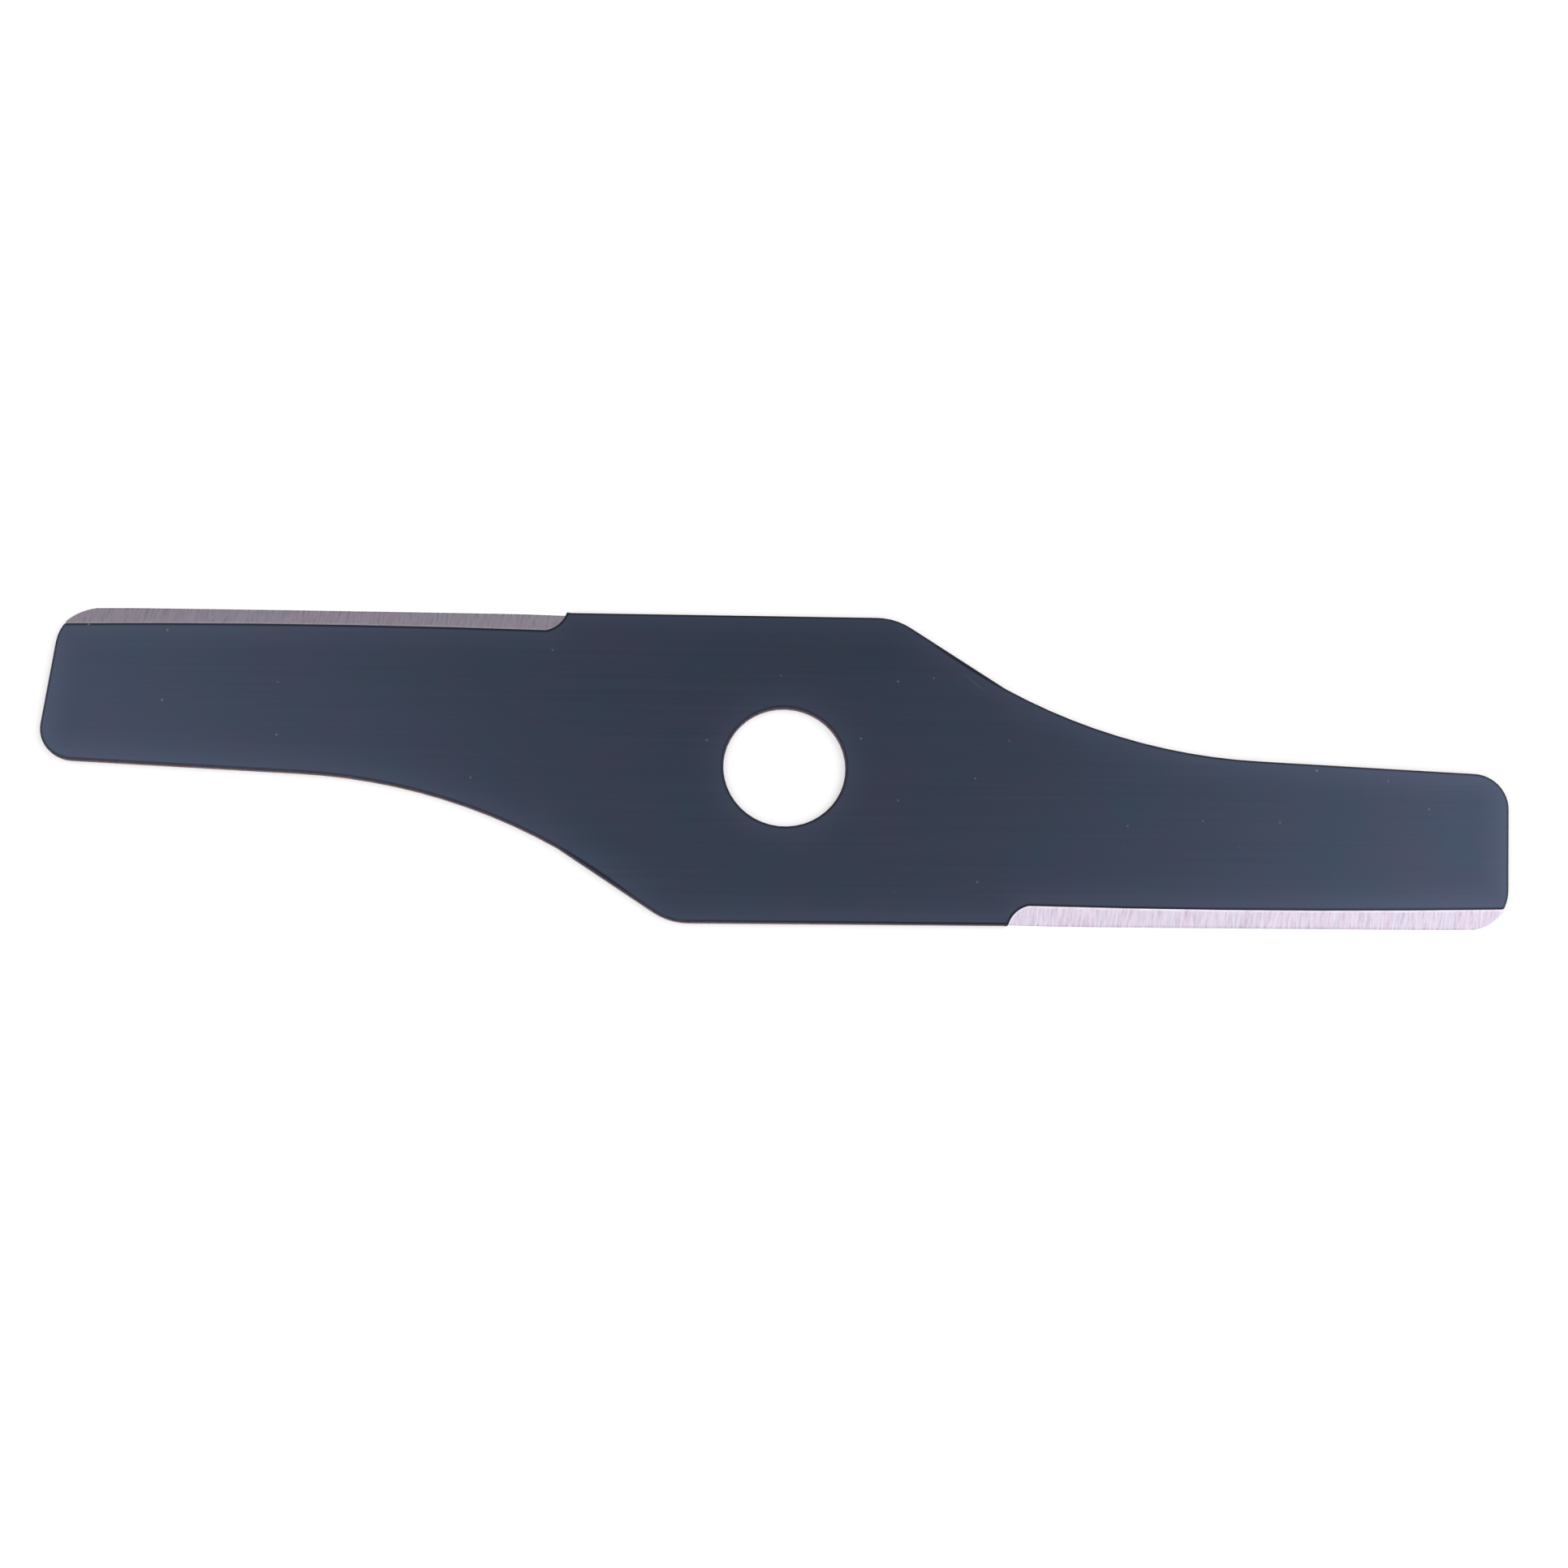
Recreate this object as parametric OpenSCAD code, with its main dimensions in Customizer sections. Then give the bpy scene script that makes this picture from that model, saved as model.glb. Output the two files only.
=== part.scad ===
// Two-tooth cutting blade for a string trimmer or brush cutter.
// One flat piece of spring steel sheet, blanked to an S outline, with a plain round
// bore for the machine's collar and one cutting edge ground on the leading side of each arm.
// The origin is the middle of the bore on the underside. X runs along the blade,
// Z runs up through the bore, and both ground faces look up.

/* [Sheet] */
// Length over both tips, which is the cutting diameter
blade_length = 305; // [255:1:355]
// Width across the two long straight edges
body_width = 66; // [60:0.5:76]
// Thickness of the steel sheet
sheet_t = 1.6; // [1.2:0.1:2.5]
// Diameter of the bore
bore_d = 25.4; // [20:0.1:30]

/* [Shoulders] */
// Distance along the blade from the bore's centre to the start of a shoulder's slope
shoulder_start = 23.6; // [21:0.1:28]
// Length along the blade of a shoulder's slope, down to the hollow curve
shoulder_run = 23.1; // [18:0.1:28]
// Slope of a shoulder from the long edge, in degrees
shoulder_angle = 33.7; // [30:0.1:40]
// Radius that rounds a shoulder into the long edge
shoulder_r = 13; // [6:0.5:20]
// Radius of the hollow curve between a shoulder and the back of its arm
hollow_r = 120; // [100:1:150]

/* [Arms] */
// Lean of an arm's back edge towards the middle of the blade's end, in degrees
back_angle = 2.7; // [1.5:0.1:4]
// Lean of an arm's end out of square, in degrees
end_angle = 5.3; // [0:0.1:8]
// Radius of the corner between an arm's cutting edge and its end
lead_corner_r = 9; // [5:0.5:12]
// Radius of the corner between an arm's end and its back
back_corner_r = 7; // [4:0.5:10]

/* [Cutting edges] */
// Width of a ground face on top, halfway along it, seen from above
grind_w = 3.5; // [2.5:0.1:5]
// Slope of a ground face from the sheet, in degrees
grind_angle = 22.5; // [18:0.5:30]
// Radius of the slight bow that the ground faces have along the blade
grind_bow_r = 2200; // [1500:50:4000]
// Distance along the blade from the bore's centre to where a ground face is at full width
grind_start = 51.3; // [45:0.1:65]
// Radius of the curve in which a ground face runs out towards the bore
runout_r = 5.8; // [5:0.1:12]

/* [Hidden] */
steel_colour = [0.24, 0.27, 0.34];
// Cuts run this far past the sheet's faces
cut_over = 1;
// Each round curve is this much larger than its radius, so that it crosses the edges it joins
blend = 0.002;
// The run-out curve tops the ground face's inner edge by this much, where the two meet in a kink
runout_rise = 0.15;
// Facets of the small circles, of the hollow curve and of the wide grinding cone
$fn = 180;
hollow_fn = 720;
grind_fn = 2880;

half_l = blade_length / 2;
half_w = body_width / 2;

// Each straight edge is an outward direction and its distance from the bore's centre.
// All of them belong to the arm that points along +X, and the other arm is its half turn.
back_out = [sin(back_angle), cos(back_angle)];
back_d = half_l * sin(back_angle);
end_out = [cos(end_angle), -sin(end_angle)];
shoulder_out = [sin(shoulder_angle), cos(shoulder_angle)];
shoulder_d = shoulder_out * [shoulder_start, half_w];

// Centres of the three rounded corners
back_corner_x = half_l - back_corner_r;
back_corner_y = (back_d - back_corner_r - back_out.x * back_corner_x) / back_out.y;
back_corner = [back_corner_x, back_corner_y];
end_d = end_out * back_corner + back_corner_r;
lead_corner_y = lead_corner_r - half_w;
lead_corner = [(end_d - lead_corner_r - end_out.y * lead_corner_y) / end_out.x, lead_corner_y];
shoulder_corner_y = half_w - shoulder_r;
shoulder_corner_x = (shoulder_d - shoulder_r - shoulder_out.y * shoulder_corner_y) / shoulder_out.x;
shoulder_corner = [shoulder_corner_x, shoulder_corner_y];

// The hollow curve starts at the foot of the shoulder and meets the arm's back edge smoothly
shoulder_foot = [shoulder_start + shoulder_run, half_w - shoulder_run * tan(shoulder_angle)];
foot_height = shoulder_foot * back_out - back_d;
back_along = [back_out.y, -back_out.x];
hollow_reach = sqrt(2 * hollow_r * foot_height - pow(foot_height, 2));
hollow_end = shoulder_foot - foot_height * back_out + hollow_reach * back_along;
hollow_centre = hollow_end + hollow_r * back_out;

// The ground face is part of a wide cone round a centre on the back side of the arm
grind_mid = (grind_start + lead_corner.x) / 2;
grind_centre = [grind_mid, grind_bow_r + grind_w - half_w];
grind_bow = pow(grind_mid - grind_start, 2) / (2 * grind_bow_r);
runout_centre = [grind_start, grind_w + grind_bow + runout_rise - runout_r - half_w];

module both_arms() {
    for (turn = [0, 180]) rotate(turn) children();
}

module corner(centre, r) {
    translate(centre) circle(r + blend);
}

// The middle of the blade with its two shoulders, whose straight slopes run on into the arms
module middle() {
    side = [
        shoulder_corner + [0, shoulder_r],
        shoulder_corner + shoulder_r * shoulder_out,
        [shoulder_start + half_w / tan(shoulder_angle), 0]
    ];
    linear_extrude(sheet_t) {
        polygon(concat(side, [for (p = side) -p]));
        both_arms() corner(shoulder_corner, shoulder_r);
    }
}

// One arm from inside the middle to its end, with the hollow curve cut into its back
module arm() {
    linear_extrude(sheet_t) {
        difference() {
            polygon([
                [-shoulder_corner.x, -half_w],
                lead_corner - [0, lead_corner_r],
                lead_corner + lead_corner_r * end_out,
                back_corner + back_corner_r * end_out,
                back_corner + back_corner_r * back_out,
                hollow_end,
                [shoulder_foot.x, half_w],
                [shoulder_foot.x, 0]
            ]);
            corner(hollow_centre, hollow_r, $fn = hollow_fn);
        }
        corner(lead_corner, lead_corner_r);
        corner(back_corner, back_corner_r);
    }
}

// The strip that the grinding wheel passes over, with a round end towards the bore
module grind_track() {
    translate(runout_centre) circle(runout_r);
    translate(runout_centre) square([half_l, runout_r + cut_over]);
}

// What grinding takes off one arm: the track's steel outside the wide cone
module grind_cut() {
    cone_drop = (sheet_t + cut_over) / tan(grind_angle);
    cone_rise = cut_over / tan(grind_angle);
    cut_h = sheet_t + 2 * cut_over;
    difference() {
        translate([0, 0, -cut_over]) linear_extrude(cut_h) grind_track();
        translate([grind_centre.x, grind_centre.y, -cut_over])
            cylinder(h = cut_h, r1 = grind_bow_r + cone_drop, r2 = grind_bow_r - cone_rise, $fn = grind_fn);
    }
}

module blade() {
    color(steel_colour) difference() {
        union() {
            middle();
            both_arms() arm();
        }
        translate([0, 0, -cut_over]) cylinder(h = sheet_t + 2 * cut_over, d = bore_d);
        both_arms() grind_cut();
    }
}

blade();
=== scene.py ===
import math

import bpy
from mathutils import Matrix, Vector


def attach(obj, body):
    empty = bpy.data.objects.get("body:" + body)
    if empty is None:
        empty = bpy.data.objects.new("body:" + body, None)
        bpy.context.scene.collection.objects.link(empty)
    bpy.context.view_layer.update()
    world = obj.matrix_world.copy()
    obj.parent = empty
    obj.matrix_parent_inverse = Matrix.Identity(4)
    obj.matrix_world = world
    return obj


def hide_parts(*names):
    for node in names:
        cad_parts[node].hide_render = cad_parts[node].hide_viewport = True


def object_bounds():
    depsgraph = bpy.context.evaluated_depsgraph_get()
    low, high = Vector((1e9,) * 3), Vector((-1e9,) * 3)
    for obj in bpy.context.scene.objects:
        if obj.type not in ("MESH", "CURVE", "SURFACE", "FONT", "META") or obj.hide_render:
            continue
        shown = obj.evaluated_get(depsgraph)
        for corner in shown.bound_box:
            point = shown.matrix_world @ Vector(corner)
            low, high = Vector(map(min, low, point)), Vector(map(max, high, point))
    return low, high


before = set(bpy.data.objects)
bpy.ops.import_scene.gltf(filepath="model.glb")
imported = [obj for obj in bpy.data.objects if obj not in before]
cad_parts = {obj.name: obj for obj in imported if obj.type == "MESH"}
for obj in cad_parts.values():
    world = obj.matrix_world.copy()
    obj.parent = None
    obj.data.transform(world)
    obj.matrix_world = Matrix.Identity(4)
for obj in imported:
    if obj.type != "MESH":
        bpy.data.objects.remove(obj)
cad_box = [list(corner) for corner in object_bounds()]

# The blade: one piece of hardened spring steel sheet, blanked to its S outline with the bore in the
# same press stroke, then tumbled, so that every blanked edge is slightly round. A trimmer's collar
# and washers clamp it round the bore. It starts as a copy of the solid, merged and rounded.
MM = 0.001
half_l, half_w, sheet_t = cad_box[1]
merge_within = 0.001 * MM
edge_round = 0.3 * MM
rounding_ends = 45.2 * MM

# The ground face of the arm along +X, seen from above: its inner edge is a very slight bow, with the
# least width halfway, and it ends towards the bore in a round run-out. The other arm is the same,
# turned half round.
grind_angle = math.radians(22.5)
grind_w = 3.5 * MM
grind_bow_r = 2200 * MM
grind_start = 51.3 * MM
grind_end = half_l - 10.6 * MM
grind_mid = (grind_start + grind_end) / 2
grind_bow = (grind_mid - grind_start) ** 2 / (2 * grind_bow_r)
runout_rise = 0.15 * MM
runout_r = 5.8 * MM
runout_centre = Vector((grind_start, grind_w + grind_bow + runout_rise - runout_r - half_w, 0))

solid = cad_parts["blade"]
bpy.ops.object.select_all(action="DESELECT")
bpy.context.view_layer.objects.active = solid
solid.select_set(True)
bpy.ops.object.duplicate()
blade = bpy.context.active_object
blade.name = "cutting_blade"
blade.parent = None
for property_name in list(blade.keys()):
    del blade[property_name]

bpy.ops.object.mode_set(mode="EDIT")
bpy.ops.mesh.customdata_custom_splitnormals_clear()
bpy.ops.mesh.select_all(action="SELECT")
bpy.ops.mesh.remove_doubles(threshold=merge_within)
bpy.ops.mesh.dissolve_limited(angle_limit=math.radians(0.2))
# The mesh is cut across where the rounding ends, a little before each run-out
for end in (-rounding_ends, rounding_ends):
    bpy.ops.mesh.select_all(action="SELECT")
    bpy.ops.mesh.bisect(plane_co=(end, 0, 0), plane_no=(1, 0, 0))
bpy.ops.object.mode_set(mode="OBJECT")


# How near a face's tilt or place has to be for it to count as flat, as leaning or as a run-out
flat_tilt = 0.999
lean_slack = 0.012
turn_slack = 0.05
runout_slack = 0.05 * MM


def kind_of(face):
    """What a face is: the flat sheet, ground by the wheel, or a blanked wall with its round edges."""
    if abs(face.normal.z) > flat_tilt:
        return "flat"
    arm = 1 if face.center.x > 0 else -1
    from_runout = Vector((arm * face.center.x, arm * face.center.y, 0)) - runout_centre
    in_runout = from_runout.x < 0 and abs(from_runout.length - runout_r) < runout_slack
    leaning = abs(face.normal.z - math.cos(grind_angle)) < lean_slack and abs(face.normal.x) < turn_slack
    return "ground" if in_runout or leaning else "wall"


def select_edges(wanted):
    """Goes to edit mode with those edges of the blade selected for which wanted(edge, its faces) holds."""
    mesh = blade.data
    meeting = {}
    for face in mesh.polygons:
        face.select = False
        for key in face.edge_keys:
            meeting.setdefault(key, []).append(face)
    for vertex in mesh.vertices:
        vertex.select = False
    for edge in mesh.edges:
        edge.select = wanted(edge, meeting[edge.key])
    bpy.ops.object.mode_set(mode="EDIT")
    bpy.ops.mesh.select_mode(type="EDGE")


def is_blanked(edge, faces):
    """An edge between a flat face and a wall, but not by a run-out or on the low wall under grinding."""
    if sorted(kind_of(face) for face in faces) != ["flat", "wall"]:
        return False
    wall = [face for face in faces if kind_of(face) == "wall"][0]
    heights = [blade.data.vertices[corner].co.z for corner in wall.vertices]
    start, end = [blade.data.vertices[corner].co for corner in edge.vertices]
    middle = (start + end) / 2
    by_runout = middle.x * middle.y < 0 and rounding_ends < abs(middle.x) < grind_start
    return max(heights) - min(heights) > sheet_t / 2 and not by_runout


def is_ground(edge, faces):
    """An edge that the grinding wheel left, which stays sharp."""
    kinds = [kind_of(face) for face in faces]
    return "ground" in kinds and kinds != ["ground", "ground"]


select_edges(is_blanked)
bpy.ops.mesh.bevel(offset=edge_round, segments=3, profile=0.5, affect="EDGES", clamp_overlap=False)
bpy.ops.mesh.select_all(action="SELECT")
bpy.ops.mesh.remove_doubles(threshold=merge_within)
bpy.ops.object.mode_set(mode="OBJECT")
bpy.ops.object.shade_smooth_by_angle(angle=math.radians(35))
select_edges(is_ground)
bpy.ops.mesh.mark_sharp()
bpy.ops.object.mode_set(mode="OBJECT")
flatness = blade.modifiers.new("flat faces stay flat", "WEIGHTED_NORMAL")
flatness.keep_sharp = True
bpy.ops.object.modifier_apply(modifier=flatness.name)


def linear(hex_colour):
    """A linear colour from sRGB hex."""
    parts = [int(hex_colour[i:i + 2], 16) / 255 for i in (1, 3, 5)]
    return [c / 12.92 if c <= 0.04045 else ((c + 0.055) / 1.055) ** 2.4 for c in parts] + [1]


def add_node(tree, kind, settings, inputs):
    """Adds a node, sets its settings and any colour stops, and sets or links its inputs."""
    node = tree.nodes.new(kind)
    for name, value in settings.items():
        if name == "stops":
            stops = node.color_ramp.elements
            while len(stops) < len(value):
                stops.new(1)
            for stop, (position, colour) in zip(stops, value):
                stop.position = position
                stop.color = linear(colour)
        else:
            setattr(node, name, value)
    for name, value in inputs.items():
        if isinstance(value, bpy.types.NodeSocket):
            tree.links.new(value, node.inputs[name])
        else:
            node.inputs[name].default_value = value
    return node


def new_material(name):
    """A new material with one Principled shader, its node tree and that shader."""
    material = bpy.data.materials.new(name)
    material.use_nodes = True
    return material, material.node_tree, material.node_tree.nodes["Principled BSDF"]


# Where a colour Mix node takes its share, the colour under and the colour over, and gives the result
SHARE, UNDER, OVER, MIXED = 0, 6, 7, 2


def on_one_arm(tree, place):
    """The place seen from above, and turned half round where it is on the arm along -X."""
    across = add_node(tree, "ShaderNodeSeparateXYZ", {}, {0: place})
    arm = add_node(tree, "ShaderNodeMath", {"operation": "SIGN"}, {0: across.outputs["X"]})
    level = add_node(tree, "ShaderNodeVectorMath", {"operation": "MULTIPLY"}, {0: place, 1: (1, 1, 0)})
    return add_node(tree, "ShaderNodeVectorMath", {"operation": "SCALE"}, {
        0: level.outputs["Vector"], "Scale": arm.outputs[0]}).outputs["Vector"]


grind_centre = Vector((grind_mid, grind_bow_r + grind_w - half_w, 0))


def depth_in_grinding(tree, arm_place):
    """How far a place on one arm lies inside the ground area, less than 0 outside it."""
    reach = add_node(tree, "ShaderNodeVectorMath", {"operation": "DISTANCE"}, {
        0: arm_place, 1: grind_centre})
    past_edge = add_node(tree, "ShaderNodeMath", {"operation": "SUBTRACT"}, {
        0: reach.outputs["Value"], 1: grind_bow_r})
    from_runout = add_node(tree, "ShaderNodeVectorMath", {"operation": "SUBTRACT"}, {
        0: arm_place, 1: runout_centre})
    behind = add_node(tree, "ShaderNodeVectorMath", {"operation": "MINIMUM"}, {
        0: from_runout.outputs["Vector"], 1: (0, 1, 1)})
    spread = add_node(tree, "ShaderNodeVectorMath", {"operation": "LENGTH"}, {0: behind.outputs["Vector"]})
    in_track = add_node(tree, "ShaderNodeMath", {"operation": "SUBTRACT"}, {
        0: runout_r, 1: spread.outputs["Value"]})
    return add_node(tree, "ShaderNodeMath", {"operation": "MINIMUM"}, {
        0: past_edge.outputs[0], 1: in_track.outputs[0]}).outputs[0]


# The outline of the arm along +X: the shoulder's round and slope on the back, the hollow from the
# slope's foot to the back edge, and the leaning end with its two corners. A name with "out" is the
# direction square to that part, away from the blade.
bore_r = 12.7 * MM
shoulder_angle = math.radians(33.7)
shoulder_run = 23.1 * MM
shoulder_r = 13 * MM
shoulder_start = Vector((23.6 * MM, half_w, 0))
shoulder_out = Vector((math.sin(shoulder_angle), math.cos(shoulder_angle), 0))
shoulder_foot = shoulder_start + Vector((shoulder_run, -shoulder_run * math.tan(shoulder_angle), 0))
round_out = Vector((math.sin(shoulder_angle / 2), math.cos(shoulder_angle / 2), 0))
round_top = shoulder_start - shoulder_r * (1 / round_out.y - 1) * round_out
back_angle = math.radians(2.7)
back_out = Vector((math.sin(back_angle), math.cos(back_angle), 0))
back_along = Vector((back_out.y, -back_out.x, 0))
hollow_r = 120 * MM
foot_height = shoulder_foot.dot(back_out) - half_l * back_out.x
hollow_reach = math.sqrt(2 * hollow_r * foot_height - foot_height ** 2)
hollow_end = shoulder_foot - foot_height * back_out + hollow_reach * back_along
hollow_centre = hollow_end + hollow_r * back_out
end_angle = math.radians(5.3)
lead_corner_r = 9 * MM
lead_corner = Vector((grind_end, lead_corner_r - half_w, 0))
back_corner_r = 7 * MM
back_corner = Vector((half_l - back_corner_r, -6.7 * MM, 0))


def depth_in_outline(tree, arm_place):
    """How far a place on one arm lies from the nearest point of the blade's outline or its bore."""
    split = add_node(tree, "ShaderNodeSeparateXYZ", {}, {0: arm_place})
    off_middle = add_node(tree, "ShaderNodeMath", {"operation": "ABSOLUTE"}, {0: split.outputs["Y"]})
    depths = [add_node(tree, "ShaderNodeMath", {"operation": "SUBTRACT"}, {
        0: half_w, 1: off_middle.outputs[0]})]
    for centre, radius in ((Vector((0, 0, 0)), bore_r), (hollow_centre, hollow_r)):
        reach = add_node(tree, "ShaderNodeVectorMath", {"operation": "DISTANCE"}, {
            0: arm_place, 1: centre})
        depths.append(add_node(tree, "ShaderNodeMath", {"operation": "SUBTRACT"}, {
            0: reach.outputs["Value"], 1: radius}))
    # The slope and the middle of the round shoulder count as far as the slope's foot, and the back
    # edge from the hollow's end on. Beyond, the way past that place is taken once it is larger.
    for outward, on_edge, way, limit in (
            (shoulder_out, shoulder_foot, 1, shoulder_foot.x),
            (round_out, round_top, 1, shoulder_foot.x),
            (back_out, hollow_end, -1, hollow_end.x)):
        reach = add_node(tree, "ShaderNodeVectorMath", {"operation": "DOT_PRODUCT"}, {
            0: arm_place, 1: outward})
        depth = add_node(tree, "ShaderNodeMath", {"operation": "SUBTRACT"}, {
            0: outward.dot(on_edge), 1: reach.outputs["Value"]})
        past = add_node(tree, "ShaderNodeMath", {"operation": "MULTIPLY_ADD"}, {
            0: split.outputs["X"], 1: way, 2: -way * limit})
        depths.append(add_node(tree, "ShaderNodeMath", {"operation": "MAXIMUM"}, {
            0: depth.outputs[0], 1: past.outputs[0]}))
    # A round corner counts from its centre on, along the blade's end as well
    for centre, radius, side in ((lead_corner, lead_corner_r, -1), (back_corner, back_corner_r, 1)):
        from_centre = add_node(tree, "ShaderNodeMapping", {"vector_type": "TEXTURE"}, {
            "Vector": arm_place, "Location": centre, "Rotation": (0, 0, -end_angle), "Scale": (1, side, 1)})
        outer = add_node(tree, "ShaderNodeVectorMath", {"operation": "MAXIMUM"}, {
            0: from_centre.outputs[0], 1: (0, 0, 0)})
        reach = add_node(tree, "ShaderNodeVectorMath", {"operation": "LENGTH"}, {
            0: outer.outputs["Vector"]})
        depth = add_node(tree, "ShaderNodeMath", {"operation": "SUBTRACT"}, {
            0: radius, 1: reach.outputs["Value"]})
        before = add_node(tree, "ShaderNodeMath", {"operation": "SUBTRACT"}, {
            0: centre.x, 1: split.outputs["X"]})
        depths.append(add_node(tree, "ShaderNodeMath", {"operation": "MAXIMUM"}, {
            0: depth.outputs[0], 1: before.outputs[0]}))
    nearest = depths[0]
    for depth in depths[1:]:
        nearest = add_node(tree, "ShaderNodeMath", {"operation": "MINIMUM"}, {
            0: nearest.outputs[0], 1: depth.outputs[0]})
    return nearest.outputs[0]


# Cold-rolled spring steel, hardened and blued: a thin dark oxide over a smooth rolled surface. It
# looks dark blue-grey with a soft sheen, clouded between blue and violet, with hardly visible
# streaks along the rolling direction. It is painted a little lighter towards every edge, partly as
# wear and partly as painted light.
cloud_size = 15 * MM
grain_size = 1.5 * MM
streak_length = 60 * MM
streak_width = 0.8 * MM
blued, tree, steel = new_material("blued cold-rolled spring steel")
place = add_node(tree, "ShaderNodeTexCoord", {}, {}).outputs["Object"]
cloud = add_node(tree, "ShaderNodeTexNoise", {}, {"Vector": place, "Scale": 1 / cloud_size, "Detail": 3.0})
clouded = add_node(tree, "ShaderNodeValToRGB", {
    "stops": [(0.3, "#445060"), (0.5, "#474f60"), (0.7, "#4a4e60")]}, {"Fac": cloud.outputs["Fac"]})
grain = add_node(tree, "ShaderNodeTexNoise", {}, {"Vector": place, "Scale": 1 / grain_size, "Detail": 2.0})
grained = add_node(tree, "ShaderNodeValToRGB", {
    "stops": [(0.35, "#f1faf8"), (0.65, "#fcf5ff")]}, {"Fac": grain.outputs["Fac"]})
rolled_place = add_node(tree, "ShaderNodeMapping", {}, {
    "Vector": place, "Scale": (1 / streak_length, 1 / streak_width, 1 / streak_length)})
rolled = add_node(tree, "ShaderNodeTexNoise", {}, {
    "Vector": rolled_place.outputs[0], "Scale": 1, "Detail": 3.0})
streaked = add_node(tree, "ShaderNodeValToRGB", {
    "stops": [(0.3, "#f8f8fa"), (0.7, "#ffffff")]}, {"Fac": rolled.outputs["Fac"]})
tinted = add_node(tree, "ShaderNodeMix", {"data_type": "RGBA", "blend_type": "MULTIPLY"}, {
    SHARE: 1.0, UNDER: clouded.outputs[0], OVER: grained.outputs[0]})
oxide = add_node(tree, "ShaderNodeMix", {"data_type": "RGBA", "blend_type": "MULTIPLY"}, {
    SHARE: 1.0, UNDER: tinted.outputs[MIXED], OVER: streaked.outputs[0]})

# Lighter at the outline, the bore or, on top, a ground area, fading out away from it: partly wear,
# partly painted light
wear_and_light_reach = 10 * MM
arm_place = on_one_arm(tree, place)
in_grinding = depth_in_grinding(tree, arm_place)
height = add_node(tree, "ShaderNodeSeparateXYZ", {}, {0: place})
underside = add_node(tree, "ShaderNodeMath", {"operation": "LESS_THAN"}, {
    0: height.outputs["Z"], 1: sheet_t / 2})
off_grinding = add_node(tree, "ShaderNodeMath", {"operation": "SUBTRACT"}, {
    0: underside.outputs[0], 1: in_grinding})
from_edge = add_node(tree, "ShaderNodeMath", {"operation": "MINIMUM"}, {
    0: depth_in_outline(tree, arm_place), 1: off_grinding.outputs[0]})
wear_and_light = add_node(tree, "ShaderNodeMapRange", {}, {
    "Value": from_edge.outputs[0], "From Min": wear_and_light_reach, "From Max": 0})
wear_and_light_share = add_node(tree, "ShaderNodeMath", {"operation": "POWER"}, {0: wear_and_light.outputs[0], 1: 2.5})
wear_and_light_colour = add_node(tree, "ShaderNodeVectorMath", {"operation": "SCALE"}, {
    0: linear("#242730")[:3], "Scale": wear_and_light_share.outputs[0]})
worn_and_lit = add_node(tree, "ShaderNodeMix", {"data_type": "RGBA", "blend_type": "ADD"}, {
    SHARE: 1.0, UNDER: oxide.outputs[MIXED], OVER: wear_and_light_colour.outputs[0]})

# Painted shade: a thin dark line right at every edge
shade_line_full = 0.3 * MM
shade_line_ends = 0.65 * MM
painted_edge_shade = add_node(tree, "ShaderNodeMapRange", {}, {
    "Value": from_edge.outputs[0], "From Min": shade_line_ends, "From Max": shade_line_full, "To Max": 0.75})
edge_shaded = add_node(tree, "ShaderNodeMix", {"data_type": "RGBA"}, {
    SHARE: painted_edge_shade.outputs[0], UNDER: worn_and_lit.outputs[MIXED], OVER: linear("#20222c")})

# Specks where the oxide has chipped: a faint light dot in a fifth of the pattern's cells, some of
# them fainter than others
speck_cell = 8 * MM
speck_full_r = 0.12 * MM
speck_r = 0.32 * MM
speck_share = 0.2
cell = add_node(tree, "ShaderNodeTexVoronoi", {"voronoi_dimensions": "2D"}, {
    "Vector": place, "Scale": 1 / speck_cell})
dot = add_node(tree, "ShaderNodeMapRange", {}, {
    "Value": cell.outputs["Distance"], "From Min": speck_r / speck_cell,
    "From Max": speck_full_r / speck_cell})
chance = add_node(tree, "ShaderNodeSeparateColor", {}, {0: cell.outputs["Color"]})
picked = add_node(tree, "ShaderNodeMapRange", {}, {
    "Value": chance.outputs[0], "From Min": 1 - speck_share, "From Max": 1.0, "To Max": 0.4})
chipped = add_node(tree, "ShaderNodeMath", {"operation": "MULTIPLY"}, {
    0: dot.outputs[0], 1: picked.outputs[0]})
specked = add_node(tree, "ShaderNodeMix", {"data_type": "RGBA"}, {
    SHARE: chipped.outputs[0], UNDER: edge_shaded.outputs[MIXED], OVER: linear("#a39c9f")})

# One faint light scratch on the shoulder of the arm that points along +X, on top only
scratch_middle = (40.3 * MM, 18.6 * MM, sheet_t)
scratch_turn = math.radians(-40)
scratch_half_size = (3.6 * MM, 0.13 * MM, 0.5 * MM)
scratch_place = add_node(tree, "ShaderNodeMapping", {"vector_type": "TEXTURE"}, {
    "Vector": place, "Location": scratch_middle, "Rotation": (0, 0, scratch_turn),
    "Scale": scratch_half_size})
off_scratch = add_node(tree, "ShaderNodeVectorMath", {"operation": "LENGTH"}, {
    0: scratch_place.outputs[0]})
scratch = add_node(tree, "ShaderNodeMapRange", {}, {
    "Value": off_scratch.outputs["Value"], "From Min": 1.0, "From Max": 0.3, "To Max": 0.3})
scratched = add_node(tree, "ShaderNodeMix", {"data_type": "RGBA"}, {
    SHARE: scratch.outputs[0], UNDER: specked.outputs[MIXED], OVER: linear("#8a8690")})
tree.links.new(scratched.outputs[MIXED], steel.inputs["Base Color"])
steel.inputs["Metallic"].default_value = 1
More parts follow.
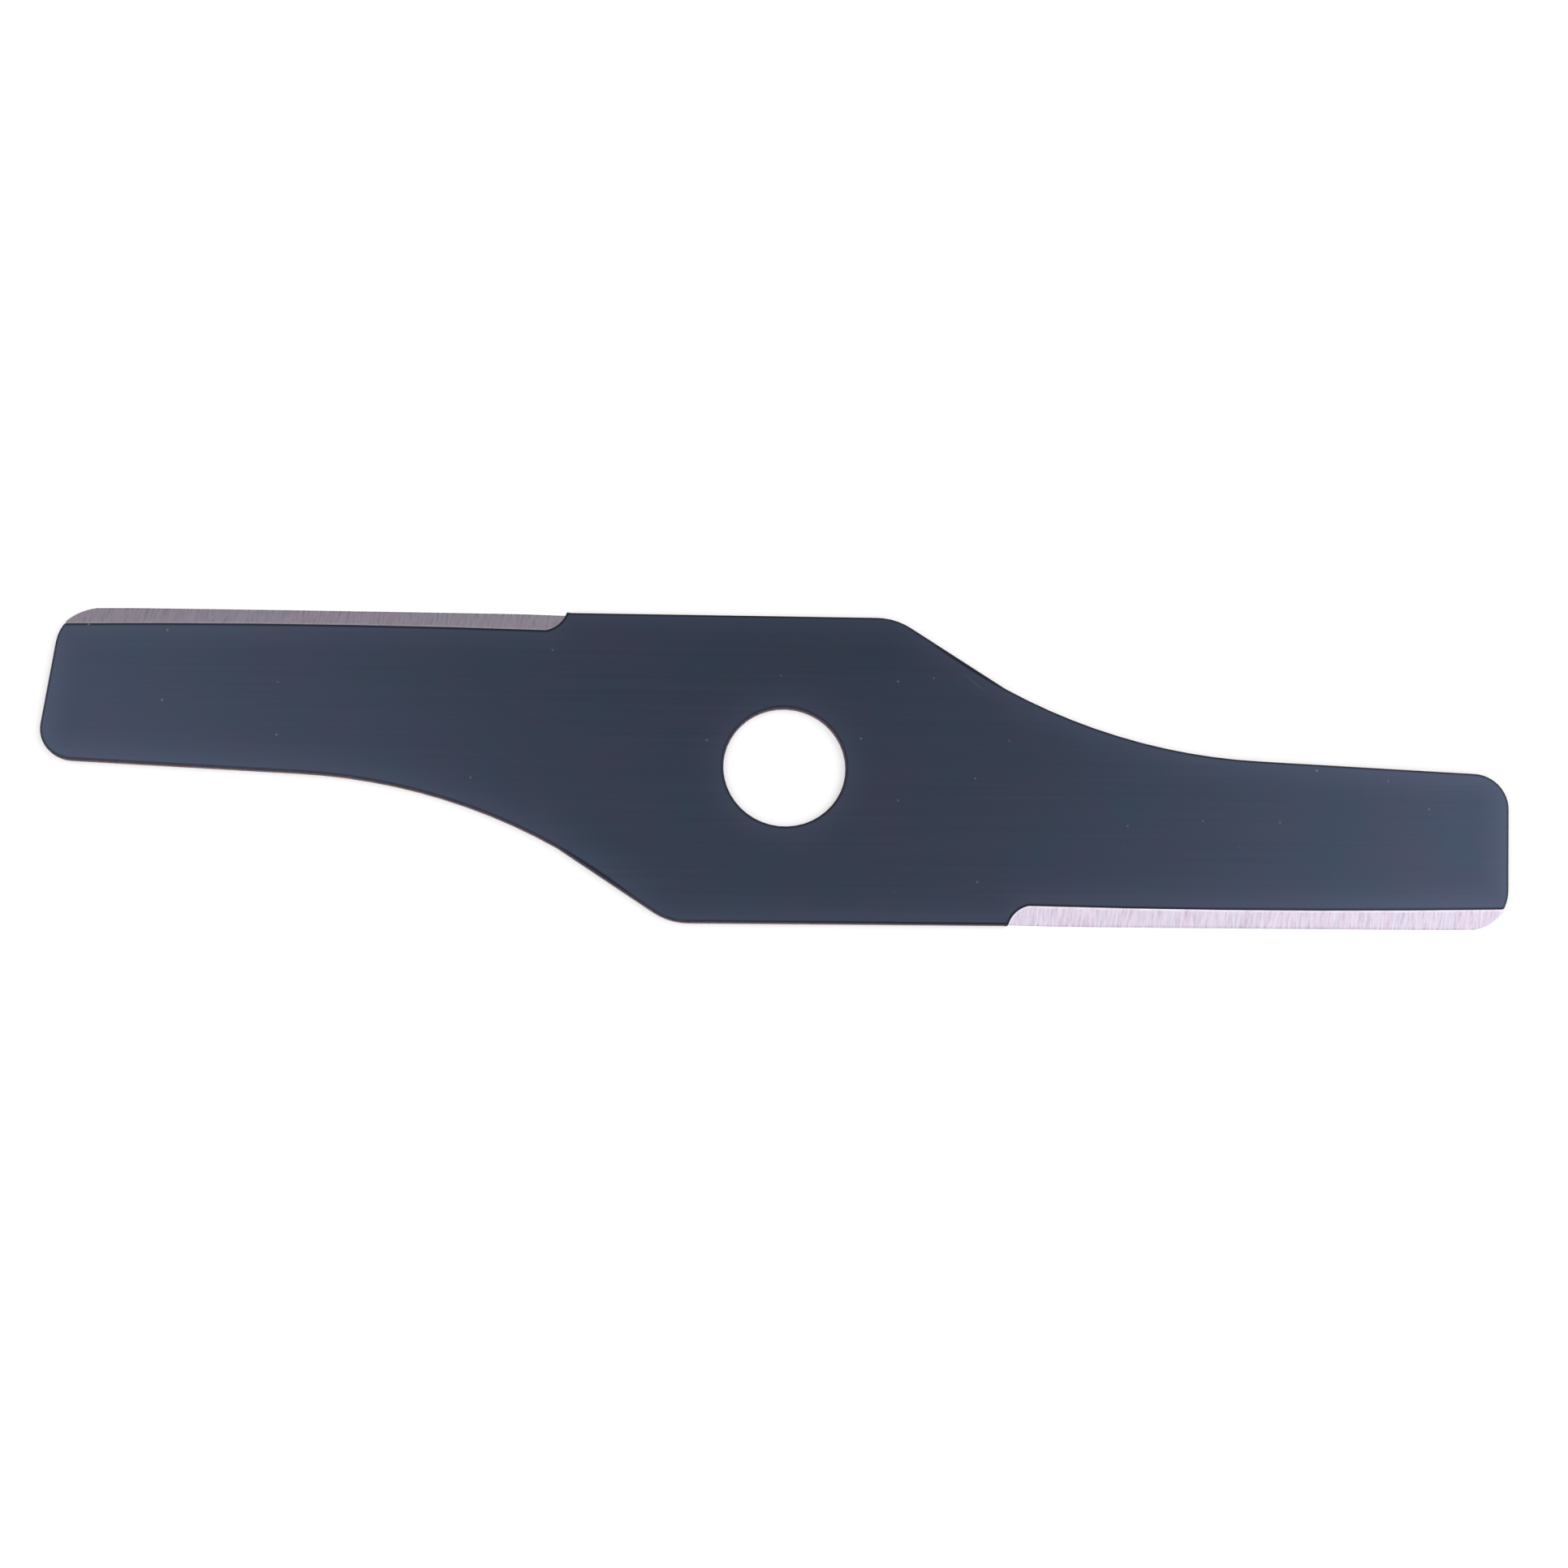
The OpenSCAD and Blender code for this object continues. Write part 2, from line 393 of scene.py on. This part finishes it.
sheen = add_node(tree, "ShaderNodeMapRange", {}, {
    "Value": rolled.outputs["Fac"], "From Min": 0.3, "From Max": 0.7, "To Min": 0.35, "To Max": 0.37})
tree.links.new(sheen.outputs[0], steel.inputs["Roughness"])
ripple = add_node(tree, "ShaderNodeBump", {}, {
    "Height": rolled.outputs["Fac"], "Strength": 0.1, "Distance": 0.004 * MM})
tree.links.new(ripple.outputs[0], steel.inputs["Normal"])

# The blanked walls and the bore: smooth and dark where the punch sheared the top third of the sheet,
# and rough and purplish brown where it broke below. They were blued together with the faces.
tear_width = 0.5 * MM
tear_height = 2.5 * MM
break_starts = 0.7 * sheet_t
break_full = 0.6 * sheet_t
blanked, tree, steel = new_material("blued blanked edge")
place = add_node(tree, "ShaderNodeTexCoord", {}, {}).outputs["Object"]
shear_place = add_node(tree, "ShaderNodeMapping", {}, {
    "Vector": place, "Scale": (1 / tear_width, 1 / tear_width, 1 / tear_height)})
shear = add_node(tree, "ShaderNodeTexNoise", {}, {
    "Vector": shear_place.outputs[0], "Scale": 1, "Detail": 3.0})
height = add_node(tree, "ShaderNodeSeparateXYZ", {}, {0: place})
break_line = add_node(tree, "ShaderNodeMapRange", {}, {
    "Value": height.outputs["Z"], "From Min": break_starts, "From Max": break_full})
smooth_part = add_node(tree, "ShaderNodeValToRGB", {
    "stops": [(0.3, "#3b3641"), (0.7, "#4a444f")]}, {"Fac": shear.outputs["Fac"]})
broken_part = add_node(tree, "ShaderNodeValToRGB", {
    "stops": [(0.3, "#604a4d"), (0.7, "#83696c")]}, {"Fac": shear.outputs["Fac"]})
sheared = add_node(tree, "ShaderNodeMix", {"data_type": "RGBA"}, {
    SHARE: break_line.outputs[0], UNDER: smooth_part.outputs[0], OVER: broken_part.outputs[0]})
tree.links.new(sheared.outputs[MIXED], steel.inputs["Base Color"])
steel.inputs["Metallic"].default_value = 1
roughened = add_node(tree, "ShaderNodeMapRange", {}, {
    "Value": break_line.outputs[0], "To Min": 0.4, "To Max": 0.6})
tree.links.new(roughened.outputs[0], steel.inputs["Roughness"])
torn = add_node(tree, "ShaderNodeBump", {}, {
    "Height": shear.outputs["Fac"], "Strength": 0.4, "Distance": 0.03 * MM})
tree.links.new(torn.outputs[0], steel.inputs["Normal"])

# The two cutting faces and their run-outs, ground after bluing with a wheel that runs across the
# edge: bare bright steel with a faint violet cast, fine scratches nearly square to the edge in
# irregular bands, a brighter line along the inner side and a darker line along the cutting edge.
# The scratches are coarsened to show.
scratch_slant = math.radians(-6)
scratch_spacing = 0.5 * MM
scratch_length = 4 * MM
cast_width = 2.2 * MM
cast_length = 9 * MM
rim_full = 0.2 * MM
rim_ends = 0.5 * MM
ground, tree, steel = new_material("bare ground spring steel")
place = add_node(tree, "ShaderNodeTexCoord", {}, {}).outputs["Object"]
band_place = add_node(tree, "ShaderNodeMapping", {"vector_type": "TEXTURE"}, {
    "Vector": place, "Rotation": (0, 0, scratch_slant),
    "Scale": (scratch_spacing, scratch_length, scratch_length)})
band = add_node(tree, "ShaderNodeTexNoise", {}, {
    "Vector": band_place.outputs[0], "Scale": 1, "Detail": 5.0, "Roughness": 0.7})
banded = add_node(tree, "ShaderNodeValToRGB", {
    "stops": [(0.3, "#c2b8c7"), (0.5, "#dfd5e4"), (0.7, "#ede5f3")]}, {"Fac": band.outputs["Fac"]})
cast_place = add_node(tree, "ShaderNodeMapping", {}, {
    "Vector": place, "Scale": (1 / cast_width, 1 / cast_length, 1 / cast_length)})
cast = add_node(tree, "ShaderNodeTexNoise", {}, {
    "Vector": cast_place.outputs[0], "Scale": 1, "Detail": 2.0})
casts = add_node(tree, "ShaderNodeValToRGB", {
    "stops": [(0.35, "#fffafd"), (0.65, "#fafbff")]}, {"Fac": cast.outputs["Fac"]})
bare = add_node(tree, "ShaderNodeMix", {"data_type": "RGBA", "blend_type": "MULTIPLY"}, {
    SHARE: 1.0, UNDER: banded.outputs[0], OVER: casts.outputs[0]})
in_grinding = depth_in_grinding(tree, on_one_arm(tree, place))
# A brighter line along the inner side of the ground area, in patches
rim = add_node(tree, "ShaderNodeMapRange", {"interpolation_type": "SMOOTHSTEP"}, {
    "Value": in_grinding, "From Min": rim_ends, "From Max": rim_full})
rim_patches = add_node(tree, "ShaderNodeMapRange", {}, {
    "Value": cast.outputs["Fac"], "From Min": 0.35, "From Max": 0.65, "To Min": 0.3, "To Max": 0.9})
bright_rim_share = add_node(tree, "ShaderNodeMath", {"operation": "MULTIPLY"}, {0: rim.outputs[0], 1: rim_patches.outputs[0]})
bright_rimmed = add_node(tree, "ShaderNodeMix", {"data_type": "RGBA"}, {
    SHARE: bright_rim_share.outputs[0], UNDER: bare.outputs[MIXED], OVER: linear("#f3ebf8")})
# A darker line along the cutting edge, in patches
across = add_node(tree, "ShaderNodeSeparateXYZ", {}, {0: place})
off_middle = add_node(tree, "ShaderNodeMath", {"operation": "ABSOLUTE"}, {0: across.outputs["Y"]})
edge_line_patches = add_node(tree, "ShaderNodeMapRange", {}, {
    "Value": band.outputs["Fac"], "From Min": 0.6, "From Max": 0.4, "To Min": 0.1, "To Max": 0.5})
cutting_edge_dark_share = add_node(tree, "ShaderNodeMapRange", {}, {
    "Value": off_middle.outputs[0], "From Min": half_w - rim_ends, "From Max": half_w - rim_full,
    "To Max": edge_line_patches.outputs[0]})
cutting_edge_darkened = add_node(tree, "ShaderNodeMix", {"data_type": "RGBA"}, {
    SHARE: cutting_edge_dark_share.outputs[0], UNDER: bright_rimmed.outputs[MIXED], OVER: linear("#a59aaa")})
tree.links.new(cutting_edge_darkened.outputs[MIXED], steel.inputs["Base Color"])
steel.inputs["Metallic"].default_value = 1
polish = add_node(tree, "ShaderNodeMapRange", {}, {
    "Value": band.outputs["Fac"], "From Min": 0.3, "From Max": 0.7, "To Min": 0.34, "To Max": 0.27})
tree.links.new(polish.outputs[0], steel.inputs["Roughness"])
grooves = add_node(tree, "ShaderNodeBump", {}, {
    "Height": band.outputs["Fac"], "Strength": 0.3, "Distance": 0.01 * MM})
tree.links.new(grooves.outputs[0], steel.inputs["Normal"])

finishes = {"flat": blued, "wall": blanked, "ground": ground}
blade.data.materials.clear()
for finish in finishes.values():
    blade.data.materials.append(finish)
for face in blade.data.polygons:
    face.material_index = list(finishes).index(kind_of(face))

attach(blade, "root")
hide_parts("blade")

# The floor: a wide white matt board that the blade lies on, plain as the photograph's white ground.
# The camera, and metal that mirrors it, see a third of its white as a glow, so its shadow is faint.
floor_r = 3
floor_top = -0.02 * MM
glow_share = 0.32
bpy.ops.object.select_all(action="DESELECT")
bpy.ops.mesh.primitive_circle_add(vertices=96, radius=floor_r, fill_type="NGON", location=(0, 0, floor_top))
floor = bpy.context.active_object
floor.name = "floor"
board, tree, paint = new_material("white matt board")
paint.inputs["Base Color"].default_value = linear("#dcdcdc")
paint.inputs["Roughness"].default_value = 0.9
paint.inputs["Emission Color"].default_value = (1, 1, 1, 1)
ray = add_node(tree, "ShaderNodeLightPath", {}, {})
mirrored = add_node(tree, "ShaderNodeMath", {"operation": "MAXIMUM"}, {
    0: ray.outputs["Is Glossy Ray"], 1: ray.outputs["Is Transmission Ray"]})
seen = add_node(tree, "ShaderNodeMath", {"operation": "MAXIMUM"}, {
    0: ray.outputs["Is Camera Ray"], 1: mirrored.outputs[0]})
white_glow = add_node(tree, "ShaderNodeMath", {"operation": "MULTIPLY"}, {
    0: seen.outputs[0], 1: glow_share})
tree.links.new(white_glow.outputs[0], paint.inputs["Emission Strength"])
floor.data.materials.append(board)

# The light: a white dome over the floor, of plain strength 1 all round, with a soft box on each side
# of the blade, a grey screen behind it and a dim patch overhead, which the blade's flat faces mirror
# to the camera. The camera doesn't see the dome itself, and the world outside is white.
dome_r = 10
dome_foot = -0.1
bpy.ops.object.select_all(action="DESELECT")
bpy.ops.mesh.primitive_uv_sphere_add(segments=96, ring_count=48, radius=dome_r)
bpy.ops.object.mode_set(mode="EDIT")
bpy.ops.mesh.select_all(action="SELECT")
bpy.ops.mesh.bisect(plane_co=(0, 0, dome_foot), plane_no=(0, 0, 1), clear_inner=True)
bpy.ops.mesh.select_all(action="SELECT")
bpy.ops.mesh.flip_normals()
bpy.ops.object.mode_set(mode="OBJECT")
dome = bpy.context.active_object
dome.name = "light_dome"
dome.visible_camera = False

cloth = bpy.data.materials.new("lit white cloth")
cloth.use_nodes = True
cloth.cycles.emission_sampling = "NONE"
tree = cloth.node_tree
tree.nodes.clear()
place = add_node(tree, "ShaderNodeTexCoord", {}, {}).outputs["Object"]
outward = add_node(tree, "ShaderNodeVectorMath", {"operation": "NORMALIZE"}, {0: place})
# Of each: azimuth and elevation of its middle, radius within which it is full and radius where it
# ends, in degrees, and by how much it changes the light
screen_behind = (100, 25, 20, 55, -0.7)
patch_overhead = (70, 75, 10, 20, -0.8)
right_soft_box = (5, 50, 10, 35, 1.2)
left_soft_box = (175, 65, 10, 30, 0.8)
strength = 1.0
for azimuth, elevation, full_within, ends_at, change in (
        screen_behind, patch_overhead, right_soft_box, left_soft_box):
    level_part = math.cos(math.radians(elevation))
    middle = (level_part * math.cos(math.radians(azimuth)), level_part * math.sin(math.radians(azimuth)),
              math.sin(math.radians(elevation)))
    nearness = add_node(tree, "ShaderNodeVectorMath", {"operation": "DOT_PRODUCT"}, {
        0: outward.outputs["Vector"], 1: middle})
    share = add_node(tree, "ShaderNodeMapRange", {"interpolation_type": "SMOOTHSTEP"}, {
        "Value": nearness.outputs["Value"], "From Min": math.cos(math.radians(ends_at)),
        "From Max": math.cos(math.radians(full_within)), "To Min": 1.0, "To Max": 1 + change})
    strength = add_node(tree, "ShaderNodeMath", {"operation": "MULTIPLY"}, {
        0: strength, 1: share.outputs[0]}).outputs[0]
glow = add_node(tree, "ShaderNodeEmission", {}, {"Color": (1, 1, 1, 1), "Strength": strength})
add_node(tree, "ShaderNodeOutputMaterial", {}, {"Surface": glow.outputs[0]})
dome.data.materials.append(cloth)

world = bpy.data.worlds.new("white surroundings")
world.use_nodes = True
world.node_tree.nodes["Background"].inputs["Color"].default_value = (1, 1, 1, 1)
world.node_tree.nodes["Background"].inputs["Strength"].default_value = 1
bpy.context.scene.world = world

# The camera: above the blade, a little in front and to the left, tipped to look at the bore.
bpy.ops.object.camera_add(
    location=(-23.5 * MM, -118 * MM, 431.8 * MM),
    rotation=(math.radians(14.859), math.radians(-3.078), math.radians(-0.114)))
camera = bpy.context.active_object
camera.data.sensor_width = 36
camera.data.angle = math.radians(39.99)
bpy.context.scene.camera = camera
bpy.context.scene.view_settings.view_transform = "Standard"
